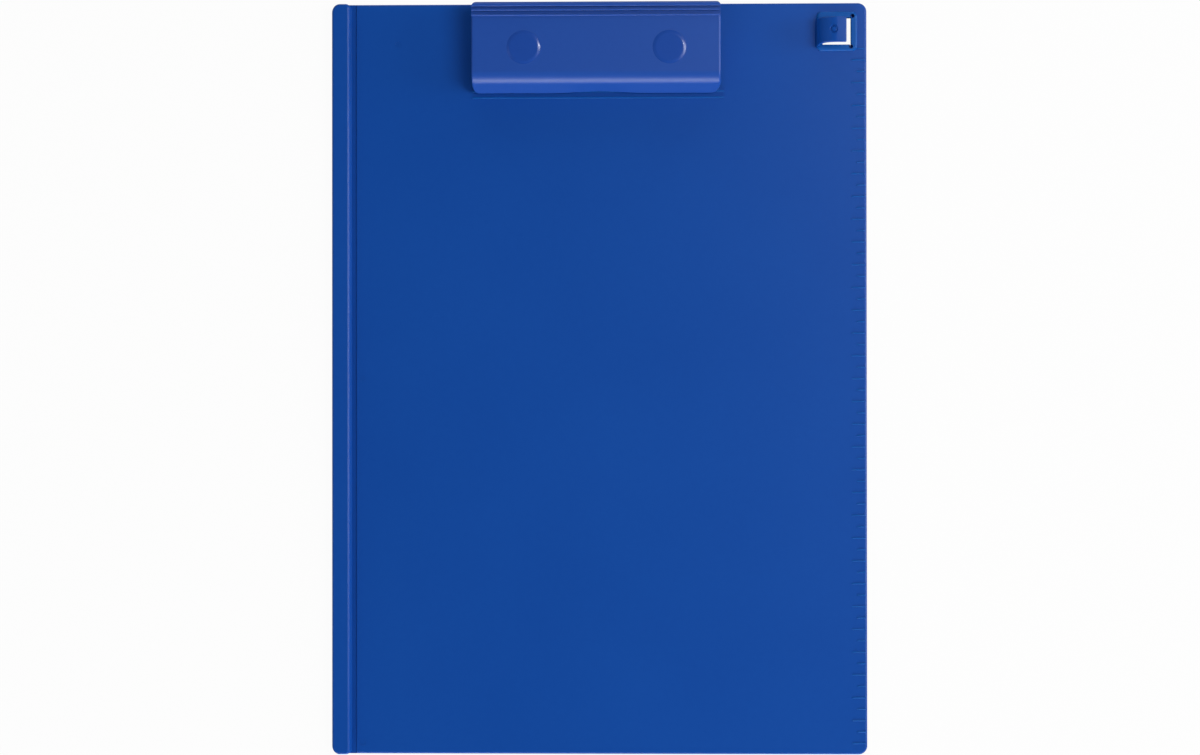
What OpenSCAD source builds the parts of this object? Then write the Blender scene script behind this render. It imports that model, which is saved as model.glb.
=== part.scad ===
// Clipboard for A4 sheets, lying face up: X to the right, Y towards the clip, Z up.
// The origin is the middle of the board's underside.

/* [Board] */
// Width of the board
board_w = 235; // [225:1:320]
// Length of the board
board_l = 330; // [320:1:450]
// Thickness of the board
board_t = 3; // [2.6:0.1:5]
// Radius of the board's corners
board_corner_r = 3.8; // [1:0.1:8]

/* [Paper guide] */
// Width of the raised guide at its foot
guide_w = 8.8; // [6:0.1:14]
// Height of the guide above the board
guide_h = 3.3; // [1.5:0.1:6]
// How far the guide's inner wall leans over its height
guide_lean = 1.2; // [0.2:0.1:2]
// Radius of the guide's outer top edge
guide_edge_r = 1.4; // [0.3:0.1:1.4]
// Width of the groove at the guide's foot
groove_w = 1.8; // [0.8:0.1:4]
// Depth of that groove
groove_depth = 0.5; // [0.2:0.1:1.2]

/* [Ruler] */
// Distance from the bottom edge to the first graduation
ruler_start = 5; // [3:0.5:12]
// Least distance from the last graduation to the top edge
ruler_end = 20; // [5:1:60]
// Distance between graduations
tick_step = 5; // [5:5:10]
// Distance from the graduations to the board's right edge
tick_edge_gap = 0.8; // [0.4:0.1:3]
// Length of every second graduation
tick_long = 4.7; // [4:0.1:8]
// Length of the others
tick_short = 3.6; // [2:0.1:4]
// Width of a graduation
tick_w = 0.5; // [0.3:0.05:1]
// Height of a graduation
tick_h = 0.25; // [0.1:0.05:0.5]

/* [Pen holder] */
// Width of the raised rim
rim_w = 17.9; // [16:0.1:24]
// Length of the raised rim
rim_l = 17.4; // [16:0.1:24]
// Width of the rim's two side bars
rim_side_bar = 2.7; // [1.5:0.1:2.8]
// Width of the rim's bar on the page's side
rim_low_bar = 2.8; // [1.5:0.1:3]
// Width of the rim's bar on the clip's side
rim_high_bar = 2.6; // [1.5:0.1:3]
// Height of the rim above the board
rim_h = 1; // [0.5:0.1:2]
// Radius of the rim's corners
rim_corner_r = 2.4; // [1:0.1:3]
// Distance from the rim to the board's right edge
rim_right_gap = 4.1; // [3:0.1:20]
// Distance from the rim to the board's top edge
rim_top_gap = 3.8; // [3:0.1:20]
// Width of the tongue, along the pen
tongue_w = 11.3; // [6:0.1:11.3]
// Height of the tongue above the board
tongue_h = 9.5; // [8:0.1:14]
// Reach of the tongue over the pen
tongue_reach = 12.6; // [11:0.1:12.8]
// Length of the tongue's flat end
tongue_flat = 3.1; // [2:0.1:5]
// Height above the board at which the tongue begins to arch over
tongue_upright = 0.4; // [0.2:0.1:5]
// Thickness of the tongue
tongue_t = 1.6; // [1:0.1:2.5]
// Diameter of the dimple on the tongue
dimple_d = 4; // [2:0.1:6]
// Diameter of the two small recesses beside the hole
pocket_d = 1.8; // [1:0.1:2.2]
// Depth of those recesses
pocket_depth = 2.4; // [0.5:0.1:2.8]

/* [Gripping ribs] */
// Length of the ribs under the lip
grip_rib_len = 110.8; // [60:0.1:140]
// Width of a rib
grip_rib_w = 0.8; // [0.5:0.05:1.2]
// Height of a rib
grip_rib_h = 0.6; // [0.3:0.05:1]
// Distance between the ribs
grip_rib_pitch = 2.8; // [1.8:0.1:4]
// Distance from the lip's front edge back to the rear rib
grip_rib_back = 0.9; // [0.8:0.1:1.4]
// How far the ribs' middle lies to the right of the lever's middle
grip_rib_shift = 0.9; // [-2:0.1:2]

/* [Lever] */
// Width of the lever
lever_w = 108.9; // [100:0.1:150]
// Length of the lever, from lip to rear
lever_l = 38.8; // [36:0.1:44]
// Height of the lever's top above the board
lever_h = 12.5; // [11.5:0.1:16]
// Thickness of the lever's top and lip
lever_t = 2.2; // [1.6:0.1:2.8]
// Thickness of the lever's side walls
lever_side_t = 1.9; // [1.4:0.1:3]
// Distance from the lever's rear to the board's top edge
lever_rear_gap = 0.6; // [0.2:0.1:6]
// How far the lever's middle lies to the right of the board's middle
lever_shift = -1.3; // [-20:0.1:10]
// Radius of the bend from top to lip
lip_bend_r = 5; // [2:0.1:6]
// Steepness of the lip
lip_angle = 67; // [55:1:78]
// Radius of the lip's front bottom edge
lip_end_r = 0.8; // [0.4:0.1:1]
// Clear height for the paper under the side walls, between lip and pin
throat_h = 3.2; // [2:0.1:3.6]
// Gap between the side walls and the board at the pin
skirt_gap = 1.8; // [1.5:0.1:2]
// Radius of the lever's corners, seen from above
lever_corner_r = 2.4; // [0.5:0.1:2.5]
// Radius of the lever's rear top edge
rear_edge_r = 1.5; // [0.5:0.1:2]
// Number of thumb ribs
thumb_ribs = 3; // [1:1:4]
// Distance between thumb ribs
thumb_rib_pitch = 2.3; // [1.8:0.1:3]
// Height of a thumb rib
thumb_rib_h = 0.6; // [0.3:0.1:0.9]
// Radius of a thumb rib's crest
thumb_rib_r = 1; // [0.9:0.1:1.4]
// Distance from the last thumb rib's crest to the lever's rear
thumb_rib_inset = 1.4; // [1.2:0.1:3]
// Diameter of the round bosses
boss_d = 14.6; // [13:0.1:18]
// Height of the bosses at their edge
boss_edge_h = 0.7; // [0.4:0.1:1.2]
// Height of the bosses at their crown
boss_h = 1.3; // [1.2:0.1:2.5]
// Distance between the bosses
boss_span = 64.1; // [50:0.1:70]
// Widest opening angle of the lever
open_angle = 15; // [5:1:15]

/* [Hinge] */
// Diameter of the hinge pin
pin_d = 3; // [2:0.1:3.2]
// Distance from the lip's front edge to the pin
pin_back = 12.4; // [11.6:0.1:14]
// Height of the pin's middle above the board
pin_h = 4.8; // [4.6:0.1:5.2]
// Radial clearance of the pin in the ears
pin_clearance = 0.05; // [0.02:0.01:0.1]
// How far the pin's ends lie inside the lever's side walls
pin_inset = 0.3; // [0.1:0.1:0.8]
// Thickness of an ear of the base
ear_t = 3; // [2:0.1:5]
// Clearance beside each ear
ear_gap = 0.4; // [0.3:0.05:1]

/* [Clip base] */
// Thickness of the base's floor
base_t = 1.6; // [1.2:0.1:2.4]
// Length of the base's floor behind the paper stop
base_l = 20; // [16:0.1:22]
// Height of the paper stop above the board
stop_h = 3.6; // [2.6:0.1:4.2]
// Thickness of the paper stop
stop_t = 1; // [0.8:0.1:1.2]

/* [Springs] */
// Outer diameter of a spring
spring_d = 8.4; // [7.6:0.1:9]
// Diameter of the spring wire
wire_d = 0.9; // [0.6:0.05:1.1]
// Turns of a spring
spring_turns = 6; // [4:1:8]
// Gap between the hinge pin and the springs
spring_gap = 0.7; // [0.4:0.1:3]
// Height of a spring post above the base's floor
post_h = 3.5; // [2:0.1:5]

/* [Rivets] */
// Diameter of a rivet's shank
rivet_d = 4; // [3:0.1:5]
// Diameter of a rivet's head
rivet_head_d = 7.4; // [6:0.1:9]
// Height of a rivet's head
rivet_head_h = 1; // [0.6:0.1:1.6]
// How far the rivets lie behind the springs' middle
rivet_back = 3; // [0:0.1:4]
// Outer diameter of a washer
washer_d = 9; // [8.4:0.1:12]
// Thickness of a washer
washer_t = 0.6; // [0.4:0.1:1]
// Depth of a washer's recess in the board's underside
recess_depth = 1.5; // [1.4:0.1:1.8]

/* [Hidden] */
$fn = 48;

blue = [0.09, 0.27, 0.58];
clip_blue = [0.13, 0.29, 0.60];
steel = [0.72, 0.73, 0.75];

// How far cuts run past a face, and how deep joined shapes sink in
past = 1;
sink = 0.3;
// Gap between faces that pass each other, and between faces that rest on each other
play = 0.3;
touch_gap = 0.05;
// Radial clearance of a piece that stays still in its hole
fixed_fit = 0.02;
arc_steps = 8;

right_x = board_w / 2;
top_y = board_l / 2;

// Paper guide
guide_x = -right_x + guide_w;
guide_inner_r = 0.6;
guide_corner_r = 2;

// Pen holder
rim_x1 = right_x - rim_right_gap;
rim_x0 = rim_x1 - rim_w;
rim_y1 = top_y - rim_top_gap;
rim_y0 = rim_y1 - rim_l;
hole_x0 = rim_x0 + rim_side_bar;
hole_x1 = rim_x1 - rim_side_bar;
hole_y0 = rim_y0 + rim_low_bar;
hole_y1 = rim_y1 - rim_high_bar;
pockets = [[hole_x1, hole_y1] + [0.6, 0.6], [hole_x1, hole_y0] - [0.1, 0.8]];
tongue_y = (hole_y0 + hole_y1) / 2;
tongue_top = board_t + tongue_h;
tongue_rise = tongue_h - tongue_upright;
tongue_droop = 0.3;
dimple_inset = 6.4;
dimple_depth = 0.6;
dimple_r = (pow(dimple_d / 2, 2) + pow(dimple_depth, 2)) / (2 * dimple_depth);

// Lever
lever_x0 = lever_shift - lever_w / 2;
lever_x1 = lever_shift + lever_w / 2;
lever_y1 = top_y - lever_rear_gap;
lever_y0 = lever_y1 - lever_l;
lever_top = board_t + lever_h;
lip_z = board_t + grip_rib_h + touch_gap;
lip_wall = lever_t / sin(lip_angle);
bend_drop = lip_bend_r * (1 - cos(lip_angle));
lip_run = (lever_top - bend_drop - lip_z) / tan(lip_angle);
bend_mid = [lever_y0 + lip_run + lip_bend_r * sin(lip_angle), lever_top - lip_bend_r];
pin_y = lever_y0 + pin_back;
pin_z = board_t + pin_h;

// Side walls: clear of the board at the widest opening, and arched over the paper
rear_arm = lever_y1 - pin_y;
rear_z = pin_z + (rear_arm * sin(open_angle) - pin_h + play) / cos(open_angle);
skirt_z = board_t + skirt_gap;
skirt_run = ((skirt_z - pin_z) * cos(open_angle) + pin_h - play) / sin(open_angle);
throat_z = board_t + throat_h;
throat_y = lever_y0 + lip_wall + (throat_z - lip_z) / tan(lip_angle);

// Bosses and the spring wells inside them
boss_y = pin_y + pin_d / 2 + spring_gap + spring_d / 2;
boss_x = [lever_shift - boss_span / 2, lever_shift + boss_span / 2];
boss_top = lever_top + boss_h;
well_play = 0.7;
well_d = spring_d + 2 * well_play;
boss_wall = 1.9;
well_ceiling = boss_top - boss_wall;

// Clip base and its ears, mirrored about the lever's middle
ear_wall = 1.5;
ear_r = pin_d / 2 + ear_wall;
base_y0 = pin_y - ear_r;
base_x = lever_w / 2 - lever_side_t - ear_gap;
base_corner_r = 1.4;
ear_x = [base_x - ear_t / 2, boss_span / 4];
floor_z = board_t + base_t;
lug_x = boss_span / 4 + ear_t + ear_gap;
lug_r = pin_z - floor_z - play;
notch = ear_t / 2 + ear_gap;
post_play = 0.6;
post_d = spring_d - 2 * wire_d - 2 * post_play;

// Rivets, halfway between the springs and the outer ears
rivet_out = (boss_span / 2 + spring_d / 2 + base_x - ear_t) / 2;
rivet_x = [lever_shift - rivet_out, lever_shift + rivet_out];
rivet_y = boss_y + rivet_back;
rivet_hole_d = rivet_d + 2 * fixed_fit;
rivet_head_taper = 2;
tail_d = rivet_d + 2;
tail_h = 0.6;
tail_z = recess_depth - washer_t;

// Springs
spring_r = (spring_d - wire_d) / 2;
spring_z0 = floor_z;
spring_z1 = well_ceiling - touch_gap;
ring_steps = 8;
wire_sides = 6;
dead_turns = 0.75;
dead_lift = wire_d + 0.12;

// Points of an arc about a middle, from one angle to another
function arc(mid, r, from, to, steps = arc_steps) =
    [for (i = [0:steps]) let (a = from + (to - from) * i / steps) mid + r * [cos(a), sin(a)]];

// Points of a quarter ellipse about a middle, from its left end to its top
function arch(mid, a, b, steps = arc_steps) =
    [for (i = [0:steps]) let (t = 180 - 90 * i / steps) mid + [a * cos(t), b * sin(t)]];

function reversed(points) = [for (i = [len(points) - 1:-1:0]) points[i]];

// Outline with round corners between two points
module rounded_rect(low, high, r) {
    translate(low + [r, 0]) square(high - low - [2 * r, 0]);
    translate(low + [0, r]) square(high - low - [0, 2 * r]);
    for (x = [low[0] + r, high[0] - r], y = [low[1] + r, high[1] - r])
        translate([x, y]) circle(r);
}

// A block between two corners
module block(low, high) {
    translate(low) cube(high - low);
}

// An outline in X and Z, extruded along Y
module along_y(y0, y1) {
    translate([0, y1, 0]) rotate([90, 0, 0]) linear_extrude(y1 - y0) children();
}

// An outline in Y and Z, extruded along X
module along_x(x0, x1) {
    translate([x0, 0, 0]) rotate([90, 0, 90]) linear_extrude(x1 - x0) children();
}

module board_plan() {
    rounded_rect([-right_x, -top_y], [right_x, top_y], board_corner_r);
}

// Section of the paper guide, with its outer edge rounded and its inner wall leaning
module guide_section() {
    z1 = board_t + guide_h;
    wall_angle = atan(guide_lean / guide_h);
    inner = [guide_x - guide_lean - guide_inner_r, z1 - guide_inner_r];
    outer = [-right_x + guide_edge_r, z1 - guide_edge_r];
    polygon(concat(
        [[-right_x, board_t - sink], [guide_x, board_t - sink], [guide_x, board_t]],
        arc(inner, guide_inner_r, wall_angle, 90),
        arc(outer, guide_edge_r, 90, 180)));
}

module paper_guide() {
    intersection() {
        along_y(-top_y, top_y) guide_section();
        linear_extrude(board_t + guide_h + past) intersection() {
            rounded_rect([-right_x, -top_y], [guide_x, top_y], guide_corner_r);
            board_plan();
        }
    }
}

module graduations() {
    for (i = [0:floor((board_l - ruler_start - ruler_end) / tick_step)]) {
        y = -top_y + ruler_start + i * tick_step;
        length = (i * tick_step) % 10 == 0 ? tick_long : tick_short;
        x1 = right_x - tick_edge_gap;
        block([x1 - length, y - tick_w / 2, board_t - sink], [x1, y + tick_w / 2, board_t + tick_h]);
    }
}

module gripping_ribs() {
    x0 = lever_shift + grip_rib_shift - grip_rib_len / 2;
    x1 = x0 + grip_rib_len;
    y1 = lever_y0 + grip_rib_back;
    for (y = [y1 - grip_rib_pitch, y1])
        block([x0, y - grip_rib_w / 2, board_t - sink], [x1, y + grip_rib_w / 2, board_t + grip_rib_h]);
}

module holder_rim() {
    translate([0, 0, board_t - sink]) linear_extrude(rim_h + sink)
        rounded_rect([rim_x0, rim_y0], [rim_x1, rim_y1], rim_corner_r);
}

module holder_hole() {
    block([hole_x0, hole_y0, -past], [hole_x1, hole_y1, board_t + rim_h + past]);
    for (at = pockets) translate([at[0], at[1], board_t + rim_h - pocket_depth])
        cylinder(h = pocket_depth + past, d = pocket_d);
}

// Arched tongue that holds a pen down, open on the right
module holder_tongue() {
    mid = [rim_x0 + tongue_reach - tongue_flat, tongue_top - tongue_rise];
    a = tongue_reach - tongue_flat;
    end_x = rim_x0 + tongue_reach;
    difference() {
        along_y(tongue_y - tongue_w / 2, tongue_y + tongue_w / 2)
            polygon(concat(
                [[rim_x0, board_t]],
                arch(mid, a, tongue_rise),
                [[end_x, tongue_top - tongue_droop], [end_x, tongue_top - tongue_droop - tongue_t]],
                reversed(arch(mid, a - tongue_t, tongue_rise - tongue_t)),
                [[rim_x0 + tongue_t, board_t]]));
        translate([end_x - dimple_inset, tongue_y, tongue_top + dimple_r - dimple_depth])
            sphere(r = dimple_r);
    }
}

module board() color(blue) {
    difference() {
        union() {
            linear_extrude(board_t) board_plan();
            paper_guide();
            graduations();
            gripping_ribs();
            holder_rim();
        }
        block([guide_x, -top_y - past, board_t - groove_depth],
              [guide_x + groove_w, top_y + past, board_t + past]);
        holder_hole();
        for (x = rivet_x) translate([x, rivet_y, -past]) {
            cylinder(h = board_t + 2 * past, d = rivet_hole_d);
            cylinder(h = recess_depth + past, d = washer_d + 2 * play);
        }
    }
    holder_tongue();
}

// Outline of the lever's side: lip, bend, top, rear edge, then the side walls' lower edge
module lever_section() {
    polygon(concat(
        arc([lever_y0 + lip_end_r, lip_z + lip_end_r], lip_end_r, 90 + lip_angle, 270),
        [[lever_y0 + lip_wall, lip_z], [throat_y, throat_z], [base_y0 - play, throat_z],
         [base_y0 + stop_t, skirt_z], [pin_y + skirt_run, skirt_z], [lever_y1, rear_z]],
        arc([lever_y1 - rear_edge_r, lever_top - rear_edge_r], rear_edge_r, 0, 90),
        arc(bend_mid, lip_bend_r, 90, 90 + lip_angle)));
}

// Outline of the hollow inside the lever
module lever_hollow() {
    under_z = lip_z - past;
    rear_y = lever_y1 - lever_side_t;
    polygon(concat(
        [[lever_y0 + lip_wall - past / tan(lip_angle), under_z],
         [rear_y, under_z], [rear_y, lever_top - lever_t]],
        arc(bend_mid, lip_bend_r - lever_t, 90, 90 + lip_angle)));
}

module thumb_rib(y) {
    along_x(lever_x0, lever_x1)
        translate([y, lever_top + thumb_rib_h - thumb_rib_r]) circle(r = thumb_rib_r);
}

// Lugs that hang from the lever's top and hold the pin beside the middle ears
module lever_lugs() {
    for (side = [-1, 1]) {
        x = lever_shift + side * lug_x;
        along_x(x - ear_t / 2, x + ear_t / 2) {
            translate([pin_y, pin_z]) circle(r = lug_r);
            translate([pin_y - lug_r, pin_z]) square([2 * lug_r, lever_top - lever_t + sink - pin_z]);
        }
    }
}

// A low dome over a spring well
module boss() {
    crown = boss_h - boss_edge_h;
    dome_r = (pow(boss_d / 2, 2) + crown * crown) / (2 * crown);
    half_angle = asin(boss_d / 2 / dome_r);
    rotate_extrude() polygon(concat(
        [[0, -sink], [boss_d / 2, -sink]],
        arc([0, boss_h - dome_r], dome_r, 90 - half_angle, 90)));
}

// A round bar along the hinge's axis, between two places
module hinge_bar(x0, x1, d) {
    translate([x0, pin_y, pin_z]) rotate([0, 90, 0]) cylinder(h = x1 - x0, d = d);
}

// The lever's outer form, with its corners rounded as seen from above
module lever_block() {
    intersection() {
        union() {
            along_x(lever_x0, lever_x1) lever_section();
            for (i = [0:thumb_ribs - 1]) thumb_rib(lever_y1 - thumb_rib_inset - i * thumb_rib_pitch);
        }
        linear_extrude(lever_top + thumb_rib_h + past)
            rounded_rect([lever_x0, lever_y0], [lever_x1, lever_y1], lever_corner_r);
    }
}

module lever_shell() {
    difference() {
        union() {
            lever_block();
            for (x = boss_x) translate([x, boss_y, lever_top]) boss();
        }
        along_x(lever_x0 + lever_side_t, lever_x1 - lever_side_t) lever_hollow();
        for (x = boss_x) translate([x, boss_y, pin_z]) cylinder(h = well_ceiling - pin_z, d = well_d);
    }
}

module clip_lever() color(clip_blue) {
    difference() {
        union() {
            lever_shell();
            lever_lugs();
        }
        hinge_bar(lever_x0 - past, lever_x1 + past, pin_d + 2 * fixed_fit);
    }
}

module hinge_pin() color(steel) {
    hinge_bar(lever_x0 + pin_inset, lever_x1 - pin_inset, pin_d);
}

// Ear of the base; the hinge's bore is cut through all of them together
module base_ear(x) {
    along_x(x - ear_t / 2, x + ear_t / 2) {
        translate([pin_y, pin_z]) circle(r = ear_r);
        translate([pin_y - ear_r, board_t]) square([2 * ear_r, pin_h]);
    }
}

// Floor with ears, spring posts and the paper stop, which is notched where the lever's lugs turn
module clip_base() color(clip_blue) {
    x0 = lever_shift - base_x;
    x1 = lever_shift + base_x;
    difference() {
        union() {
            translate([0, 0, board_t]) linear_extrude(base_t)
                rounded_rect([x0, base_y0], [x1, base_y0 + base_l], base_corner_r);
            block([x0 + ear_t / 2, base_y0, board_t], [x1 - ear_t / 2, base_y0 + stop_t, board_t + stop_h]);
            for (side = [-1, 1], x = ear_x) base_ear(lever_shift + side * x);
            for (x = boss_x) translate([x, boss_y, floor_z - sink]) cylinder(h = post_h + sink, d = post_d);
        }
        hinge_bar(lever_x0, lever_x1, pin_d + 2 * pin_clearance);
        for (x = rivet_x) translate([x, rivet_y, board_t - past])
            cylinder(h = base_t + 2 * past, d = rivet_hole_d);
        for (x = [lever_shift - lug_x, lever_shift + lug_x])
            block([x - notch, base_y0 - past, floor_z], [x + notch, base_y0 + stop_t + play, pin_z]);
    }
}

// Shank with a raised head on the base and a turned end below the washer
module rivet(x) color(steel) {
    translate([x, rivet_y, 0]) {
        translate([0, 0, tail_z - tail_h]) cylinder(h = tail_h, d = tail_d);
        translate([0, 0, tail_z - sink]) cylinder(h = floor_z - tail_z + 2 * sink, d = rivet_d);
        translate([0, 0, floor_z])
            cylinder(h = rivet_head_h, d1 = rivet_head_d, d2 = rivet_head_d - rivet_head_taper);
    }
}

module washer(x) color(steel) {
    translate([x, rivet_y, tail_z]) difference() {
        cylinder(h = washer_t, d = washer_d);
        translate([0, 0, -past]) cylinder(h = washer_t + 2 * past, d = rivet_hole_d);
    }
}

// Height of a spring's wire along its turns: both ends lie flat, the rest rises evenly
function wire_z(turn) =
    let (low = spring_z0 + wire_d / 2,
         high = spring_z1 - wire_d / 2,
         share = (turn - dead_turns) / (spring_turns - 2 * dead_turns))
    turn < dead_turns ? low + dead_lift * turn / dead_turns
    : turn > spring_turns - dead_turns ? high - dead_lift * (spring_turns - turn) / dead_turns
    : low + dead_lift + (high - low - 2 * dead_lift) * share;

// Least gap between a turn of the wire and the next, measured on its points
wire_gap = min([for (i = [0:(spring_turns - 1) * ring_steps])
    wire_z(i / ring_steps + 1) - wire_z(i / ring_steps)]) - wire_d;
echo(str("Least gap between the spring's turns in mm: ", wire_gap));

// One unbroken wire, swept along its turns
module spring(x) color(steel) {
    rings = spring_turns * ring_steps;
    points = [for (i = [0:rings]) let (turn = i / ring_steps, a = 360 * turn)
        for (j = [0:wire_sides - 1]) let (b = 360 * j / wire_sides, r = spring_r + wire_d / 2 * cos(b))
            [x + r * cos(a), boss_y + r * sin(a), wire_z(turn) + wire_d / 2 * sin(b)]];
    walls = [for (i = [0:rings - 1], j = [0:wire_sides - 1])
        let (k = (j + 1) % wire_sides, p = i * wire_sides, q = p + wire_sides)
            each [[p + j, q + j, q + k], [p + j, q + k, p + k]]];
    ends = [for (j = [1:wire_sides - 2])
        each [[0, j, j + 1], [rings * wire_sides, rings * wire_sides + j + 1, rings * wire_sides + j]]];
    polyhedron(points, concat(walls, ends));
}

board();
clip_base();
clip_lever();
hinge_pin();
spring(boss_x[0]);  // spring_left
spring(boss_x[1]);  // spring_right
rivet(rivet_x[0]);  // rivet_left
rivet(rivet_x[1]);  // rivet_right
washer(rivet_x[0]);  // washer_left
washer(rivet_x[1]);  // washer_right
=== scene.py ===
"""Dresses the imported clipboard: moulded board, sprung clip, hinge pin, springs and rivets.

Pieces are shaped in millimetres by bmesh operators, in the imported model's own frame, and become
metres when they are finished. X points to the ruler edge, Y to the clip, Z up.
"""
import logging
import math
from dataclasses import dataclass, field
from enum import Enum
from typing import Callable, Iterable, Sequence

import bmesh
import bpy
from mathutils import Matrix, Vector


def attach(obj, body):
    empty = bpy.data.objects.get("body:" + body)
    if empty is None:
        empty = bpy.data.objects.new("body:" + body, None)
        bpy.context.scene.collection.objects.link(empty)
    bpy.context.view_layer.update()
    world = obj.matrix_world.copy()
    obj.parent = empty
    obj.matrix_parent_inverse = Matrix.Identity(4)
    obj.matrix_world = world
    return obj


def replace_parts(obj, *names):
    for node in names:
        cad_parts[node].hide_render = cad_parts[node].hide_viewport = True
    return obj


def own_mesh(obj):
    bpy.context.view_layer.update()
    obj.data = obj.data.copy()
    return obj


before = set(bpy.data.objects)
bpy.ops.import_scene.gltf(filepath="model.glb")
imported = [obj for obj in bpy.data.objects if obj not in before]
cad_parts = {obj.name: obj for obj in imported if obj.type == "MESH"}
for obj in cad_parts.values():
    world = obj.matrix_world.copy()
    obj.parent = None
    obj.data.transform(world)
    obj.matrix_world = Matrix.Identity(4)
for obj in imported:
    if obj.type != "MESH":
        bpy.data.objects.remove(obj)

LOG = logging.getLogger("clipboard")
MM = 0.001
WELD = 1e-4
SOFT_TURN = 38.0
SHARP_TURN = 60.0

Corner = tuple[float, float, float]
Test = Callable[[Vector], bool]


class Plane(Enum):
    """The plane an outline is drawn in, as the places of its two coordinates and of its depth."""

    XY = (0, 1, 2)
    XZ = (0, 2, 1)
    YZ = (1, 2, 0)


class Body(Enum):
    """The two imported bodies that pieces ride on."""

    BOARD = "board"
    LEVER = "lever"


class Slot(Enum):
    """The record's material slots."""

    BOARD = "board_plastic"
    CLIP = "clip_plastic"
    PIN = "pin_steel"
    SPRING = "spring_steel"
    RIVET = "rivet_steel"


# ---------------------------------------------------------------------------------------------
# Mesh tools
# ---------------------------------------------------------------------------------------------


class Blank:
    """A closed shape in millimetres that bmesh operators turn into one piece."""

    def __init__(self) -> None:
        """Starts empty."""
        self.bm = bmesh.new()

    def outline(self, corners: Sequence[Corner], plane: Plane, depth: float,
                steps: int = 6) -> bmesh.types.BMFace:
        """Draws one face from its corners and rounds those that have a radius.

        Args:
            corners: two coordinates and a radius each, in order round the face.
            plane: the plane of the face.
            depth: where the face lies along its normal.
            steps: segments in each rounded corner.

        Returns:
            The face.
        """
        u, v, w = plane.value
        verts = []
        for a, b, _ in corners:
            at = [0.0, 0.0, 0.0]
            at[u], at[v], at[w] = a, b, depth
            verts.append(self.bm.verts.new(at))
        face = self.bm.faces.new(verts)
        count = len(corners)
        for i, vert in enumerate(verts):
            radius = corners[i][2]
            if radius <= 0:
                continue
            before = Vector(corners[i - 1][:2]) - Vector(corners[i][:2])
            after = Vector(corners[(i + 1) % count][:2]) - Vector(corners[i][:2])
            reach = radius / math.tan(before.angle(after) / 2)
            bmesh.ops.bevel(self.bm, geom=[vert], offset=reach, offset_type="OFFSET", segments=steps,
                            profile=0.5, affect="VERTICES", material=-1)
        self.bm.normal_update()
        return max((f for f in self.bm.faces if any(x in f.verts for x in self.bm.verts[-1:])),
                   key=lambda f: f.calc_area(), default=face)

    def thicken(self, face: bmesh.types.BMFace, plane: Plane, height: float) -> None:
        """Extrudes a face along its plane's depth and closes the far side.

        Args:
            face: the face to extrude.
            plane: the face's plane.
            height: how far, with its sign.
        """
        made = bmesh.ops.extrude_face_region(self.bm, geom=[face])["geom"]
        move = [0.0, 0.0, 0.0]
        move[plane.value[2]] = height
        points = [g for g in made if isinstance(g, bmesh.types.BMVert)]
        bmesh.ops.translate(self.bm, verts=points, vec=move)

    def prism(self, corners: Sequence[Corner], plane: Plane, low: float, high: float,
              steps: int = 6) -> "Blank":
        """Adds a solid with one outline between two depths.

        Args:
            corners: the outline, as in outline().
            plane: its plane.
            low: the near depth.
            high: the far depth.
            steps: segments in each rounded corner.

        Returns:
            This blank.
        """
        self.thicken(self.outline(corners, plane, low, steps), plane, high - low)
        return self

    def box(self, low: Sequence[float], high: Sequence[float], radius: float = 0.0,
            steps: int = 6) -> "Blank":
        """Adds a block between two corners, with its upright edges rounded.

        Args:
            low: the lowest corner.
            high: the highest corner.
            radius: of the upright edges.
            steps: segments in each rounded edge.

        Returns:
            This blank.
        """
        corners = [(low[0], low[1], radius), (high[0], low[1], radius),
                   (high[0], high[1], radius), (low[0], high[1], radius)]
        return self.prism(corners, Plane.XY, low[2], high[2], steps)

    def bar(self, centre: Sequence[float], axis: int, radius: float, low: float, high: float,
            sides: int = 32) -> "Blank":
        """Adds a round bar along one axis.

        Args:
            centre: a point on the bar's axis.
            axis: 0, 1 or 2 for X, Y or Z.
            radius: of the bar.
            low: where it starts along the axis.
            high: where it ends.
            sides: number of sides.

        Returns:
            This blank.
        """
        turn = {0: Matrix.Rotation(math.pi / 2, 4, "Y"), 1: Matrix.Rotation(math.pi / 2, 4, "X"),
                2: Matrix.Identity(4)}[axis]
        mid = Vector(centre)
        mid[axis] = (low + high) / 2
        bmesh.ops.create_cone(self.bm, cap_ends=True, segments=sides, radius1=radius, radius2=radius,
                              depth=high - low, matrix=Matrix.Translation(mid) @ turn)
        return self

    def turned(self, corners: Sequence[Corner], centre: Sequence[float], axis: int = 2, steps: int = 48,
               round_steps: int = 3) -> "Blank":
        """Adds a turned shape: an outline of radius and height, spun round an axis.

        Args:
            corners: radius, height and rounding of each corner, in order. The first and the last lie
                on the axis, or the outline stands clear of it.
            centre: where height 0 of the axis lies.
            axis: 0 or 2 for X or Z.
            steps: sides round the axis.
            round_steps: segments in each rounded corner.

        Returns:
            This blank.
        """
        work = Blank()
        work.outline(corners, Plane.XZ, 0.0, round_steps)
        bmesh.ops.delete(work.bm, geom=work.bm.faces[:], context="FACES_ONLY")
        on_axis = [e for e in work.bm.edges if all(v.co.x < 1e-6 for v in e.verts)]
        bmesh.ops.delete(work.bm, geom=on_axis, context="EDGES")
        bmesh.ops.spin(work.bm, geom=work.bm.verts[:] + work.bm.edges[:], cent=(0, 0, 0), axis=(0, 0, 1),
                       dvec=(0, 0, 0), angle=math.tau, steps=steps, use_merge=True)
        bmesh.ops.remove_doubles(work.bm, verts=work.bm.verts, dist=WELD)
        turn = Matrix.Rotation(math.pi / 2, 4, "Y") if axis == 0 else Matrix.Identity(4)
        bmesh.ops.transform(work.bm, matrix=Matrix.Translation(centre) @ turn, verts=work.bm.verts)
        return self.add(work)

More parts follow.
